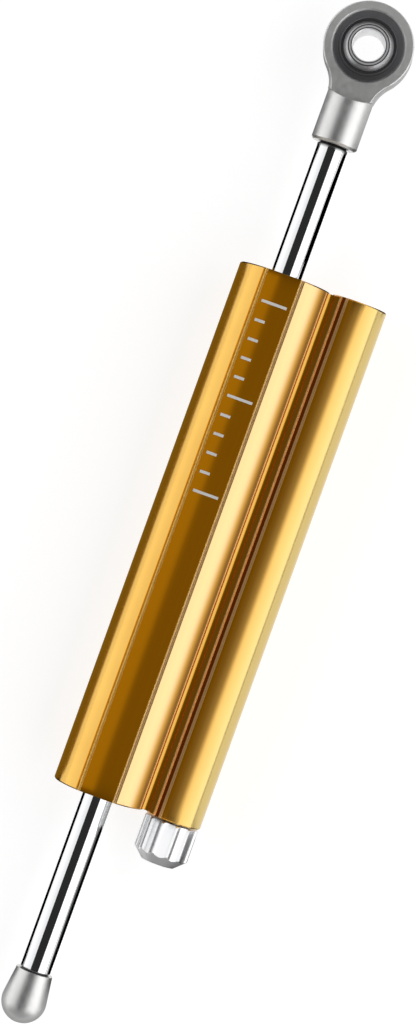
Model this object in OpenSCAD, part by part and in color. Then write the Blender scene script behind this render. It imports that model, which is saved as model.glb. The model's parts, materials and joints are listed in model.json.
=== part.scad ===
// Motorcycle steering damper with a through-rod and an adjustable by-pass, in millimetres.
// The rod lies along X, and the eye of the rod end is at +X.
// Z is the axis of the eye's bolt. The small lobe with the adjuster lies at -Y.
// The origin is on the rod axis, in the middle of the body.

/* [Body] */
// Length of the extruded body
body_len = 138; // [124:1:180]
// Diameter of the main lobe, round the rod
main_lobe_d = 24; // [23:0.1:30]
// Diameter of the small lobe, round the adjuster
small_lobe_d = 14.5; // [12:0.1:18]
// Gap between the two lobe circles, bridged by the web
lobe_gap = 0.5; // [0.2:0.1:1.5]
// Radius of the valleys beside the web
valley_r = 1; // [0.8:0.1:2]
// Bevel on the ends of both lobes
end_bevel = 0.3; // [0.1:0.05:0.5]
// Bore of the damping chamber
main_bore_d = 18; // [17:0.1:19]
// Bevel at the mouths of the bores
mouth_bevel = 0.4; // [0.1:0.1:0.8]
// Diameter of the two ports between the bore and the by-pass
port_d = 2.4; // [1.5:0.1:3]
// Distance of each port from its gland, centre to face
port_inset = 2; // [1.5:0.1:2.2]
// Diameter of the by-pass gallery in the small lobe
gallery_d = 3; // [2.4:0.1:4]

/* [Body grooves] */
// Depth of the label flat below the crown of the main lobe
flat_drop = 1.25; // [0.8:0.05:1.4]
// Land between the edge of the label flat and its border groove
border_land = 0.35; // [0.2:0.05:0.6]
// Width of each border groove
border_groove_w = 0.65; // [0.4:0.05:1]
// Depth of each border groove
border_groove_h = 0.25; // [0.1:0.05:0.4]
// Angle of the flank groove on the small lobe, from straight up
flank_groove_angle = 34; // [20:1:45]
// Width of the flank groove
flank_groove_w = 2.1; // [1:0.1:2.5]
// Depth of the flank groove below the crown of the small lobe
flank_groove_h = 0.45; // [0.3:0.05:0.8]

/* [Rod and piston] */
// Diameter of the rod
rod_d = 8; // [7:0.1:8.6]
// Bare rod between the body and the rod end, at rest
rod_out_upper = 35.25; // [20:0.25:60]
// Bare rod between the body and the end cap, at rest
rod_out_lower = 47.75; // [20:0.25:60]
// Diameter of the threaded studs on both ends of the rod
stud_d = 6; // [4:0.1:6.6]
// Length of the stud in the rod end
upper_stud_len = 12; // [8:0.25:13]
// Length of the stud in the end cap
lower_stud_len = 8; // [5:0.25:9]
// Bevel on the tips of the studs
stud_bevel = 0.5; // [0.2:0.1:0.8]
// Bevel on the shoulders of the rod, where the studs start
rod_bevel = 0.6; // [0.2:0.1:0.8]
// Length of the piston
piston_len = 11; // [8:0.5:12]
// Radial gap between the piston and the bore
piston_gap = 0.1; // [0.05:0.01:0.3]
// Width of the piston ring
piston_ring_w = 3; // [2:0.1:4]
// Radial thickness of the piston ring
piston_ring_t = 0.98; // [0.6:0.02:1.4]
// Width of the cut in the piston ring
piston_ring_cut = 0.6; // [0.3:0.1:1]
// Thickness of the washers beside the piston
washer_t = 0.5; // [0.3:0.1:0.8]
// Diameter of the washers beside the piston
washer_d = 14; // [12:0.5:16]
// Thickness of the circlips on the rod
rod_clip_t = 1; // [0.6:0.1:1.2]
// Depth of the circlip grooves in the rod
rod_clip_depth = 0.5; // [0.3:0.05:0.7]
// Radial width of the circlips on the rod
rod_clip_w = 2; // [1.5:0.1:2.5]
// Opening of the circlips on the rod
rod_clip_opening = 5.6; // [4:0.1:6]

/* [Glands] */
// Distance of each circlip's outer face from the end of the body
clip_inset = 2.2; // [1.5:0.1:3]
// Thickness of the circlips in the bore
clip_t = 1; // [0.8:0.1:1.5]
// Depth of the circlip grooves in the bore
clip_depth = 0.6; // [0.3:0.05:0.8]
// Radial width of the circlips in the bore
clip_w = 1.9; // [1.4:0.1:2.2]
// Diameter of the eyes on the circlip's ends
clip_eye_d = 2.6; // [2.2:0.1:3]
// Hole in the eyes on the circlip's ends
clip_hole_d = 1.2; // [0.8:0.1:1.4]
// Angle between the eyes of the circlip
clip_eye_angle = 30; // [26:1:50]
// Radial play of the rod where it passes the gland itself
rod_pass_gap = 0.3; // [0.15:0.05:0.6]
// Wall of the rod bush
bush_wall = 1; // [0.6:0.1:1.5]
// Length of the rod bush
bush_len = 10; // [6:0.5:14]
// Wall of the oil seal
seal_wall = 2.5; // [2:0.1:3]
// Length of the oil seal
seal_len = 4.2; // [3:0.1:6]
// Depth of the oil seal in its seat
seal_sink = 0.3; // [0.1:0.1:1]
// Shoulder between the oil seal and the rod bush
bush_shoulder = 1; // [0.5:0.1:2]
// Room in the bush's seat between the bush and the wiper
bush_room = 1.5; // [0.5:0.1:3]
// Wall of the wiper
wiper_wall = 2.5; // [2:0.1:3]
// Length of the wiper's seat
wiper_len = 3.75; // [2.5:0.25:4]
// Height of the wiper's lip above the gland
wiper_lip = 1.5; // [0.8:0.1:2]
// Thickness of the wiper's lip at its tip
wiper_lip_t = 0.35; // [0.2:0.05:0.6]
// Thickness of the gland's O-ring
gland_ring_t = 1.6; // [1.2:0.1:1.9]
// Distance of the O-ring's groove from the outer face of the gland
gland_ring_inset = 8.4; // [6:0.1:10]

/* [Rod end] */
// Distance from the end of the shank to the centre of the eye
rod_end_reach = 25.95; // [24:0.05:32]
// Diameter of the shank
shank_d = 12; // [10.5:0.1:14]
// Bevel on the end of the shank
shank_bevel = 0.6; // [0.2:0.1:1]
// Wall of the eye round the bearing
eye_wall = 2.55; // [1.4:0.05:4]
// Width of the eye along its bolt
eye_w = 8.2; // [8:0.1:10.5]
// Bevel on the edges of the eye
eye_bevel = 0.25; // [0.2:0.05:0.8]
// Radius of the necks between the eye and the shank
neck_r = 10; // [6:0.5:12]
// Distance from the necks out to the turned surface that rounds their edges off
neck_swell = 0.6; // [0.2:0.1:1.5]
// Width of the spot faces beyond the eye, on the shank
spot_face_land = 2.9; // [2:0.1:5]
// Diameter of the bearing's seat in the eye
bearing_seat_d = 17.7; // [16:0.1:22]
// Bevel at the mouths of the bearing's seat
seat_bevel = 0.5; // [0.1:0.05:0.6]
// Depth of the bearing race's faces below those of the eye
race_sink = 0.3; // [0.1:0.05:0.6]
// Wall of the bearing race at its middle
race_wall = 0.86; // [0.5:0.02:1.5]
// Thickness of the bearing liner
liner_t = 0.46; // [0.3:0.02:0.5]
// Diameter of the bolt bore in the ball
bolt_d = 8; // [6:0.1:9]
// Width of the ball's flat faces round the bolt bore
ball_land = 1.2; // [0.8:0.05:1.6]
// Bevel at the mouths of the bolt bore
bolt_bevel = 0.3; // [0.1:0.1:0.5]

/* [End cap] */
// Length of the end cap
cap_len = 13.6; // [12:0.1:18]
// Diameter of the end cap at its mouth
cap_mouth_d = 9.5; // [9:0.1:11]
// Diameter of the dome
cap_dome_d = 11.5; // [11.2:0.05:14]

/* [Knob] */
// Diameter of the knob
knob_d = 14.4; // [13.4:0.1:18]
// Length of the knob
knob_len = 11; // [10:0.25:16]
// Gap between the knob and the body
knob_gap = 0.4; // [0.3:0.05:1]
// Number of flutes
flutes = 12; // [8:1:14]
// Radius of a flute
flute_r = 3; // [2.4:0.1:5]
// Width of the ridge between two flutes
ridge_w = 0.45; // [0.3:0.05:0.8]
// Length of the bevel on the outer end
knob_bevel_len = 2.75; // [1:0.05:3]
// Depth of the bevel on the outer end
knob_bevel_h = 2.9; // [1:0.05:3]
// Bevel on the inner end
knob_back_bevel = 0.4; // [0.2:0.1:0.8]
// Depth of the spindle's bore in the knob
knob_bore_depth = 8; // [6:0.25:9]
// Diameter of the grub screw
grub_d = 3; // [2:0.1:3.4]
// Width across the flats of the grub screw's socket
grub_socket = 1.5; // [1:0.1:1.6]
// Distance of the grub screw from the inner end of the knob
grub_inset = 4.5; // [3:0.1:5.5]
// Depth of the grub screw below the floor of its flute
grub_sink = 0.5; // [0.2:0.1:1]

/* [Adjuster] */
// Diameter of the adjuster's bore in the body
adjuster_bore_d = 9; // [8.8:0.1:10]
// Length of the adjuster's housing
housing_len = 18.8; // [18:0.1:22]
// Depth of the housing's face below the end of the body
housing_sink = 0.2; // [0.1:0.05:0.5]
// Length of the housing's neck round the spindle
housing_neck_len = 8.75; // [8:0.05:9.5]
// Wall of the housing round its cavity
housing_wall = 0.78; // [0.6:0.02:1]
// Diameter of the spindle
spindle_d = 5; // [4.6:0.1:5.2]
// Length of the spindle's flange
flange_len = 2; // [1:0.1:2.5]
// Depth of the threaded socket in the spindle
spindle_socket_len = 7; // [5:0.1:7.5]
// Diameter of the needle's threaded tail
tail_d = 2.94; // [2:0.02:3.2]
// Distance of the needle's seat from the gland's inner face
seat_inset = 4; // [3.6:0.1:6]
// Width across the flats of the needle's hexagon
needle_hex = 4.8; // [4.4:0.1:5]
// Room in the guide beyond the travel of the needle's hexagon, at each end
needle_hex_room = 0.9; // [0.3:0.1:1.2]
// Diameter of the needle's stem
stem_d = 3.8; // [3.2:0.1:4.2]
// Length of the needle's cone
cone_len = 3; // [2:0.1:4]
// Diameter of the needle's tip
tip_d = 1; // [0.5:0.1:1.6]
// Travel of the needle to each side of its rest
needle_travel = 0.6; // [0.2:0.05:0.8]
// Radial gap left at the seat when the needle is in
needle_shut_gap = 0.05; // [0.02:0.01:0.2]
// Thickness of the O-rings on the housing and the plug
adjuster_ring_t = 0.96; // [0.7:0.02:1.1]
// Thickness of the O-ring on the spindle
spindle_ring_t = 0.54; // [0.4:0.02:0.6]
// Distance of the O-ring on the spindle from the face of the housing
spindle_ring_inset = 2; // [1.6:0.1:3]
// Distance of the O-ring on the housing from the face of the housing
housing_ring_inset = 5; // [4:0.1:6]
// Room in the bore behind the gallery plug
plug_room = 1.6; // [0.5:0.1:4]
// Length of the gallery plug
plug_len = 8; // [6.5:0.25:12]
// Depth of the plug's face below the end of the body
plug_sink = 0.4; // [0.2:0.1:1]
// Width across the flats of the plug's socket
plug_socket = 4; // [3:0.1:4.5]
// Depth of the plug's socket
plug_socket_depth = 3.2; // [2:0.1:3.5]
// Distance of the plug's O-ring from the plug's outer face
plug_ring_inset = 5; // [4.5:0.1:5.5]

/* [Detent] */
// Diameter of the detent ball
detent_ball_d = 1.5; // [1:0.1:1.6]
// Number of dimples in the housing's face
dimples = 12; // [6:1:12]
// Depth of a dimple
dimple_h = 0.25; // [0.1:0.05:0.4]
// Length of the detent spring
spring_len = 4.8; // [3:0.1:5.2]
// Thickness of the spring's wire
spring_wire = 0.26; // [0.2:0.02:0.3]
// Turns of the spring
spring_turns = 6; // [3:1:6]

/* [Clearances] */
// Radial gap round a piece that is pressed or screwed in
fit_gap = 0.02; // [0.01:0.005:0.04]
// Radial gap round a piece that turns or slides
run_gap = 0.03; // [0.02:0.005:0.06]
// Gap between the ends of pieces that lie against each other
end_gap = 0.05; // [0.02:0.01:0.1]
// Width of an O-ring's groove, as a multiple of the ring's thickness
ring_groove_ratio = 1.5; // [1.2:0.05:1.7]

/* [Hidden] */
$fn = 72;

// Length by which a cut runs past the face that it opens
cut = 1;
// Length by which the cut of a bevel runs past its face
skim = 0.001;

// Colours of the finishes
gold = [0.82, 0.60, 0.16];
chrome = [0.86, 0.87, 0.89];
silver = [0.78, 0.78, 0.79];
steel = [0.55, 0.56, 0.58];
dark_steel = [0.25, 0.25, 0.27];
brass = [0.78, 0.64, 0.34];
bronze = [0.66, 0.47, 0.27];
rubber = [0.09, 0.09, 0.10];
polymer = [0.30, 0.27, 0.22];

// Cross-section of the body
body_half = body_len / 2;
main_r = main_lobe_d / 2;
small_r = small_lobe_d / 2;
bore_r = main_bore_d / 2;
lobe_y = main_r + small_r + lobe_gap;
valley_y = ((main_r + valley_r) ^ 2 - (small_r + valley_r) ^ 2 + lobe_y ^ 2) / (2 * lobe_y);
valley_z = sqrt((main_r + valley_r) ^ 2 - valley_y ^ 2);
flat_z = main_r - flat_drop;
flat_half_w = sqrt(main_r ^ 2 - flat_z ^ 2);
border_y = flat_half_w - border_land - border_groove_w / 2;
border_groove_r = (border_groove_w ^ 2 / 4 + border_groove_h ^ 2) / (2 * border_groove_h);

// Places along the rod axis in each end of the body, counted from the middle
clip_x1 = body_half - clip_inset;
clip_x0 = clip_x1 - clip_t;
clip_r = bore_r + clip_depth - fit_gap;
gland_r = bore_r - fit_gap;
gland_x1 = clip_x0 - end_gap;
seal_seat_len = seal_len + seal_sink;
gland_len = seal_seat_len + bush_shoulder + bush_len + bush_room + wiper_len;
gland_x0 = gland_x1 - gland_len;
rod_r = rod_d / 2;
rod_pass_r = rod_r + rod_pass_gap;
wiper_x0 = gland_x1 - wiper_len;
wiper_seat_r = rod_r + wiper_wall;
seal_seat_r = rod_r + seal_wall;
seal_x1 = gland_x0 + seal_seat_len;
bush_seat_r = rod_r + bush_wall;
bush_x0 = seal_x1 + bush_shoulder;
gland_ring_x = gland_x1 - gland_ring_inset - gland_ring_t / 2;
port_x = gland_x0 - port_inset;

// The rod, its piston and its two ends
rest_shift = (rod_out_upper - rod_out_lower) / 2;
rod_x1 = body_half + rod_out_upper;
rod_x0 = -body_half - rod_out_lower;
stud_r = stud_d / 2;
piston_half = piston_len / 2;
piston_r = bore_r - piston_gap;
piston_ring_r = bore_r - fit_gap;
piston_groove_r = piston_ring_r - piston_ring_t - piston_gap;
piston_clip_x = piston_half + washer_t + end_gap;
rod_clip_bore_r = rod_r - rod_clip_depth + fit_gap;
rod_clip_r = rod_clip_bore_r + rod_clip_w;

// The eye of the rod end and its bearing
eye_x = rod_x1 + rod_end_reach;
seat_r = bearing_seat_d / 2;
eye_r = seat_r + eye_wall;
spot_face_r = eye_r + spot_face_land;
shank_r = shank_d / 2;
neck_y = shank_r + neck_r;
neck_reach = sqrt((eye_r + neck_r) ^ 2 - neck_y ^ 2);
race_w = eye_w - 2 * race_sink;
race_bore_r = seat_r - fit_gap - race_wall;
liner_r = race_bore_r - fit_gap - liner_t;
ball_r = liner_r - run_gap;
ball_w = 2 * sqrt(ball_r ^ 2 - (bolt_d / 2 + ball_land) ^ 2);

// The end cap, whose cone runs tangent into its dome
dome_r = cap_dome_d / 2;
dome_x = rod_x0 - cap_len + dome_r;
cap_mouth_r = cap_mouth_d / 2;
mouth_reach = rod_x0 - dome_x;
tangent_angle = atan2(cap_mouth_r, mouth_reach) + acos(dome_r / norm([mouth_reach, cap_mouth_r]));
tangent_x = dome_x + dome_r * cos(tangent_angle);
tangent_r = dome_r * sin(tangent_angle);

// The adjuster in the lower end of the small lobe, from the knob inwards
adjuster_bore_r = adjuster_bore_d / 2;
adjuster_r = adjuster_bore_r - fit_gap;
gallery_r = gallery_d / 2;
needle_seat_x = -(gland_x0 - seat_inset);
knob_x1 = -body_half - knob_gap;
knob_x0 = knob_x1 - knob_len;
knob_r = knob_d / 2;
flute_half_angle = 180 / flutes - asin(ridge_w / knob_d);
flute_half_w = knob_r * sin(flute_half_angle);
flute_axis_r = knob_r * cos(flute_half_angle) + sqrt(flute_r ^ 2 - flute_half_w ^ 2);
flute_floor_r = flute_axis_r - flute_r;
grub_r = grub_d / 2;
grub_x = knob_x1 - grub_inset;
spindle_r = spindle_d / 2;
spindle_x0 = knob_x1 - knob_bore_depth + end_gap;
housing_x0 = -body_half + housing_sink;
housing_x1 = housing_x0 + housing_len;
cavity_x0 = housing_x0 + housing_neck_len;
cavity_r = adjuster_r - housing_wall;
flange_x0 = cavity_x0 + end_gap;
flange_x1 = flange_x0 + flange_len;
guide_x0 = flange_x1 + end_gap;
guide_r = cavity_r - fit_gap;
tail_r = tail_d / 2;
socket_r = tail_r + run_gap;
socket_x0 = flange_x1 - spindle_socket_len;
stem_r = stem_d / 2;
tip_r = tip_d / 2;
cone_slope = (stem_r - tip_r) / cone_len;
cone_x0 = needle_seat_x - (stem_r - gallery_r + needle_shut_gap) / cone_slope - needle_travel;
hex_x0 = guide_x0 + needle_travel + needle_hex_room;
hex_x1 = housing_x1 - needle_travel - needle_hex_room;
tail_x0 = socket_x0 + needle_travel + end_gap;
adjuster_groove_r = adjuster_r - adjuster_ring_t - fit_gap;
housing_ring_x = housing_x0 + housing_ring_inset;
spindle_groove_r = spindle_r - spindle_ring_t;
spindle_ring_x = housing_x0 + spindle_ring_inset;

// The plug in the upper end of the small lobe
plug_x1 = body_half - plug_sink;
plug_x0 = plug_x1 - plug_len;
plug_bore_x0 = plug_x0 - plug_room;
plug_ring_x = plug_x1 - plug_ring_inset;

// The detent between the knob and the housing
detent_r = (spindle_r + run_gap + adjuster_r) / 2;
detent_ball_r = detent_ball_d / 2;
detent_ball_x = housing_x0 - fit_gap - detent_ball_r;
detent_pocket_r = detent_ball_r + run_gap;
dimple_r = detent_ball_r + run_gap;
spring_x1 = detent_ball_x - detent_ball_r - end_gap;
spring_x0 = spring_x1 - spring_len;
spring_wire_r = spring_wire / 2;
spring_r = detent_ball_r - spring_wire_r;

// The spring's helix as rings of points along X
spring_sides = 6;
spring_rings_a_turn = 12;
spring_rings = spring_turns * spring_rings_a_turn;
spring_pitch = (spring_len - spring_wire) / spring_turns;
function spring_point(i, side) =
    let (turn = 360 * i / spring_rings_a_turn)
    let (around = 360 * side / spring_sides)
    let (r = spring_r + spring_wire_r * cos(around))
    let (x = spring_x0 + spring_wire_r + spring_pitch * i / spring_rings_a_turn)
    [x + spring_wire_r * sin(around), r * cos(turn), r * sin(turn)];
spring_points = [
    for (i = [0 : spring_rings], side = [0 : spring_sides - 1]) spring_point(i, side)
];
spring_next = [for (side = [0 : spring_sides - 1]) (side + 1) % spring_sides];
spring_walls = [
    for (i = [0 : spring_rings - 1], side = [0 : spring_sides - 1], half = [0, 1])
        let (a = i * spring_sides + side)
        let (b = i * spring_sides + spring_next[side])
        half == 0 ? [a, b, b + spring_sides] : [a, b + spring_sides, a + spring_sides]
];
spring_first_end = [for (side = [1 : spring_sides - 2]) [0, side + 1, side]];
spring_last = spring_rings * spring_sides;
spring_last_end = [
    for (side = [1 : spring_sides - 2]) [spring_last, spring_last + side, spring_last + side + 1]
];
spring_gap = min([
    for (i = [0 : spring_rings_a_turn], a = [0 : spring_sides - 1], b = [0 : spring_sides - 1])
        norm(spring_point(i + spring_rings_a_turn, a) - spring_point(i, b))
]);
echo(least_gap_between_the_springs_turns = spring_gap);

// A solid turned about the rod axis from points given as [radius, x]
module turned(points) {
    rotate([0, 90, 0]) rotate_extrude() polygon(points);
}

// A round bar on the rod axis
module bar(r, x0, x1) {
    translate([x0, 0, 0]) rotate([0, 90, 0]) cylinder(r = r, h = x1 - x0);
}

// A cone on the rod axis
module cone(r0, r1, x0, x1) {
    translate([x0, 0, 0]) rotate([0, 90, 0]) cylinder(r1 = r0, r2 = r1, h = x1 - x0);
}

// A tube on the rod axis
module tube(r_out, r_in, x0, x1) {
    turned([[r_in, x0], [r_out, x0], [r_out, x1], [r_in, x1]]);
}

// An O-ring on the rod axis
module o_ring(r_in, thickness, x) {
    translate([x, 0, 0]) rotate([0, 90, 0]) rotate_extrude()
        translate([r_in + thickness / 2, 0]) circle(d = thickness);
}

// The cut for an O-ring's groove, from the face of a piece down to the groove's floor
module ring_groove(r_face, r_floor, thickness, x) {
    half = thickness * ring_groove_ratio / 2;
    tube(r_face + cut, r_floor, x - half, x + half);
}

// A hexagonal bar on the rod axis
module hex_bar(flats, x0, x1) {
    translate([x0, 0, 0]) rotate([0, 90, 0])
        cylinder(d = flats / cos(30), h = x1 - x0, $fn = 6);
}

// An outline in the plane across the rod, drawn out along it
module across(x0, x1) {
    translate([x0, 0, 0]) rotate([90, 0, 90]) linear_extrude(x1 - x0) children();
}

// Moves a piece that is drawn at the upper end to the lower end
module lower() {
    mirror([1, 0, 0]) children();
}

// Moves a piece that is drawn on the rod axis to the small lobe's axis
module on_small_lobe() {
    translate([0, -lobe_y, 0]) children();
}

// Cross-section of the body, two lobes joined by a web with rounded valleys
module body_outline() {
    circle(r = main_r);
    translate([-lobe_y, 0]) circle(r = small_r);
    difference() {
        polygon([[0, 0], [-valley_y, valley_z], [-lobe_y, 0], [-valley_y, -valley_z]]);
        for (side = [-1, 1])
            translate([-valley_y, side * valley_z]) circle(r = valley_r);
    }
}

// Cross-section of the cuts along the body: the label flat, its border grooves and the flank groove
module groove_outline() {
    translate([-main_r, flat_z]) square([main_lobe_d, main_r]);
    for (side = [-1, 1])
        translate([side * border_y, flat_z + border_groove_r - border_groove_h])
            circle(r = border_groove_r);
    translate([-lobe_y, 0]) rotate(-flank_groove_angle)
        translate([-flank_groove_w / 2, small_r - flank_groove_h])
            square([flank_groove_w, small_r]);
}

// Bevelled upper end of a lobe
module lobe_end(r) {
    cone(r, r - end_bevel, body_half - end_bevel, body_half);
}

// Bevelled mouth of a bore in the upper end of the body
module bore_mouth(r) {
    cone(r, r + mouth_bevel, body_half - mouth_bevel, body_half + skim);
}

module damper_body() {
    color(gold) difference() {
        union() {
            across(end_bevel - body_half, body_half - end_bevel) body_outline();
            lobe_end(main_r);
            lower() lobe_end(main_r);
            on_small_lobe() lobe_end(small_r);
            on_small_lobe() lower() lobe_end(small_r);
        }
        across(-body_half - cut, body_half + cut) groove_outline();
        bar(bore_r, -body_half - cut, body_half + cut);
        bore_mouth(bore_r);
        lower() bore_mouth(bore_r);
        tube(bore_r + clip_depth, bore_r - cut, clip_x0 - end_gap, clip_x1 + end_gap);
        lower() tube(bore_r + clip_depth, bore_r - cut, clip_x0 - end_gap, clip_x1 + end_gap);
        on_small_lobe() {
            bar(adjuster_bore_r, -body_half - cut, needle_seat_x);
            lower() bore_mouth(adjuster_bore_r);
            bar(gallery_r, needle_seat_x - cut, plug_bore_x0 + cut);
            bar(adjuster_bore_r, plug_bore_x0, body_half + cut);
            bore_mouth(adjuster_bore_r);
        }
        for (x = [-port_x, port_x])
            translate([x, 0, 0]) rotate([90, 0, 0]) cylinder(d = port_d, h = lobe_y);
    }
}

module gland() {
    color(silver) difference() {
        bar(gland_r, gland_x0, gland_x1);
        bar(rod_pass_r, gland_x0 - cut, gland_x1 + cut);
        bar(wiper_seat_r, wiper_x0, gland_x1 + cut);
        bar(bush_seat_r, bush_x0, wiper_x0 + cut);
        bar(seal_seat_r, gland_x0 - cut, seal_x1);
        ring_groove(gland_r, gland_r - gland_ring_t, gland_ring_t, gland_ring_x);
    }
}

module bush() {
    color(bronze) tube(bush_seat_r - fit_gap, rod_r + run_gap, bush_x0, bush_x0 + bush_len);
}

// Lip seal that opens towards the oil
module oil_seal() {
    r_in = rod_r + run_gap;
    r_out = seal_seat_r - fit_gap;
    x0 = seal_x1 - seal_len;
    wall = seal_wall / 3;
    color(rubber) turned([
        [r_in, x0], [r_in + wall / 2, x0], [r_in + wall, x0 + seal_len / 2],
        [r_out - wall, x0 + seal_len / 2], [r_out - wall, x0], [r_out, x0],
        [r_out, seal_x1], [r_in + wall / 2, seal_x1], [r_in + wall / 2, x0 + seal_len / 2]
    ]);
}

// Wiper with a lip that stands out of the gland and leans on the rod
module wiper() {
    r_in = rod_r + run_gap;
    r_out = wiper_seat_r - fit_gap;
    lip_x = gland_x1 + wiper_lip;
    color(rubber) turned([
        [r_in + wiper_lip_t, wiper_x0], [r_out, wiper_x0], [r_out, gland_x1],
        [r_in + wiper_wall / 2, gland_x1], [r_in + wiper_lip_t, lip_x], [r_in, lip_x],
        [r_in + wiper_lip_t, gland_x1]
    ]);
}

module gland_o_ring() {
    color(rubber) o_ring(gland_r - gland_ring_t + fit_gap, gland_ring_t - fit_gap, gland_ring_x);
}

// Circlip in the bore, with a pierced eye on each end
module circlip() {
    eye_ring_r = clip_r - clip_eye_d / 2;
    half = clip_eye_angle / 2;
    color(dark_steel) across(clip_x0, clip_x1) difference() {
        union() {
            difference() {
                circle(r = clip_r);
                circle(r = clip_r - clip_w);
                polygon([[0, 0], 2 * clip_r * [sin(half), cos(half)], 2 * clip_r * [-sin(half), cos(half)]]);
            }
            for (side = [-1, 1])
                rotate(side * half) translate([0, eye_ring_r]) circle(d = clip_eye_d);
        }
        for (side = [-1, 1])
            rotate(side * half) translate([0, eye_ring_r]) circle(d = clip_hole_d);
    }
}

// Groove for an O-ring in a piece that fills the adjuster's bore
module adjuster_groove(x) {
    ring_groove(adjuster_r, adjuster_groove_r, adjuster_ring_t, x);
}

module gallery_plug() {
    color(silver) on_small_lobe() difference() {
        bar(adjuster_r, plug_x0, plug_x1);
        hex_bar(plug_socket, plug_x1 - plug_socket_depth, plug_x1 + cut);
        adjuster_groove(plug_ring_x);
    }
}

module gallery_plug_o_ring() {
    color(rubber) on_small_lobe() o_ring(adjuster_groove_r + fit_gap, adjuster_ring_t, plug_ring_x);
}

// Housing with a neck round the spindle, a cavity for its flange and dimples for the detent
module adjuster_housing() {
    color(brass) on_small_lobe() difference() {
        bar(adjuster_r, housing_x0, housing_x1);
        bar(spindle_r + run_gap, housing_x0 - cut, cavity_x0 + cut);
        bar(cavity_r, cavity_x0, housing_x1 + cut);
        adjuster_groove(housing_ring_x);
        for (i = [1 : dimples])
            rotate([360 * i / dimples, 0, 0])
                translate([housing_x0 + dimple_h - dimple_r, 0, detent_r]) sphere(r = dimple_r);
    }
}

module adjuster_housing_o_ring() {
    color(rubber) on_small_lobe() o_ring(adjuster_groove_r + fit_gap, adjuster_ring_t, housing_ring_x);
}

module needle_guide() {
    color(steel) on_small_lobe() difference() {
        bar(guide_r, guide_x0, housing_x1);
        hex_bar(needle_hex + 4 * run_gap, guide_x0 - cut, housing_x1 + cut);
    }
}

module piston() {
    ring_half = piston_ring_w / 2 + end_gap;
    color(silver) translate([rest_shift, 0, 0]) difference() {
        tube(piston_r, rod_r + run_gap, -piston_half, piston_half);
        tube(bore_r + cut, piston_groove_r, -ring_half, ring_half);
    }
}

module piston_ring() {
    color(polymer) translate([rest_shift, 0, 0]) difference() {
        tube(piston_ring_r, piston_ring_r - piston_ring_t, -piston_ring_w / 2, piston_ring_w / 2);
        translate([-piston_ring_w, -piston_ring_cut / 2, 0])
            cube([2 * piston_ring_w, piston_ring_cut, bore_r + cut]);
    }
}

module piston_washers() {
    color(steel) translate([rest_shift, 0, 0]) for (side = [-1, 1])
        rotate([0, 0, side < 0 ? 180 : 0])
            tube(washer_d / 2, rod_r + run_gap, piston_half, piston_half + washer_t);
}

module piston_rod() {
    color(chrome) difference() {
        union() {
            cone(rod_r - rod_bevel, rod_r, rod_x0, rod_x0 + rod_bevel);
            bar(rod_r, rod_x0 + rod_bevel, rod_x1 - rod_bevel);
            cone(rod_r, rod_r - rod_bevel, rod_x1 - rod_bevel, rod_x1);
            bar(stud_r, rod_x1 - cut, rod_x1 + upper_stud_len - stud_bevel);
            cone(stud_r, stud_r - stud_bevel, rod_x1 + upper_stud_len - stud_bevel,
                rod_x1 + upper_stud_len);
            bar(stud_r, rod_x0 - lower_stud_len + stud_bevel, rod_x0 + cut);
            cone(stud_r - stud_bevel, stud_r, rod_x0 - lower_stud_len,
                rod_x0 - lower_stud_len + stud_bevel);
        }
        for (side = [-1, 1])
            translate([rest_shift, 0, 0]) rotate([0, 0, side < 0 ? 180 : 0])
                tube(rod_r + cut, rod_r - rod_clip_depth, piston_clip_x - end_gap / 2,
                    piston_clip_x + rod_clip_t + end_gap / 2);
    }
}

// Open circlips in the rod's grooves, one on each side of the piston
module piston_circlips() {
    color(dark_steel) translate([rest_shift, 0, 0]) for (side = [-1, 1])
        rotate([0, 0, side < 0 ? 180 : 0]) difference() {
            tube(rod_clip_r, rod_clip_bore_r, piston_clip_x, piston_clip_x + rod_clip_t);
            translate([piston_clip_x - cut, -rod_clip_opening / 2, 0])
                cube([rod_clip_t + 2 * cut, rod_clip_opening, rod_clip_r + cut]);
        }
}

// Outline of the necks between the eye and the shank, seen along the bolt
module neck_outline() {
    intersection() {
        circle(r = spot_face_r);
        difference() {
            polygon([[0, 0], [-neck_reach, neck_y], [-neck_reach, -neck_y]]);
            for (side = [-1, 1]) translate([-neck_reach, side * neck_y]) circle(r = neck_r);
        }
    }
}

// Round that flares from the shank to the eye, just outside the necks
module neck_flare() {
    rotate([0, 90, 0]) rotate_extrude() difference() {
        translate([0, -spot_face_r]) square([neck_y, spot_face_r + cut]);
        translate([neck_y, -neck_reach]) circle(r = neck_r - neck_swell);
    }
}

module rod_end() {
    half = eye_w / 2;
    mouth = seat_r + seat_bevel;
    color(silver) difference() {
        union() {
            translate([eye_x, 0, 0]) intersection() {
                translate([0, 0, -half]) linear_extrude(eye_w) neck_outline();
                neck_flare();
            }
            translate([eye_x, 0, 0]) rotate_extrude() polygon([
                [0, -half], [eye_r - eye_bevel, -half], [eye_r, eye_bevel - half],
                [eye_r, half - eye_bevel], [eye_r - eye_bevel, half], [0, half]
            ]);
            cone(shank_r - shank_bevel, shank_r, rod_x1, rod_x1 + shank_bevel);
            bar(shank_r, rod_x1 + shank_bevel, eye_x);
        }
        for (side = [0, 180])
            translate([eye_x, 0, 0]) rotate([side, 0, 0]) translate([0, 0, half])
                cylinder(r = spot_face_r, h = shank_d);
        translate([eye_x, 0, -eye_w]) cylinder(r = seat_r, h = 2 * eye_w);
        for (side = [0, 180])
            translate([eye_x, 0, 0]) rotate([side, 0, 0]) translate([0, 0, half - seat_bevel])
                cylinder(r1 = seat_r, r2 = mouth, h = seat_bevel + skim);
        bar(stud_r + fit_gap, rod_x1 - cut, rod_x1 + upper_stud_len + end_gap);
    }
}

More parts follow.
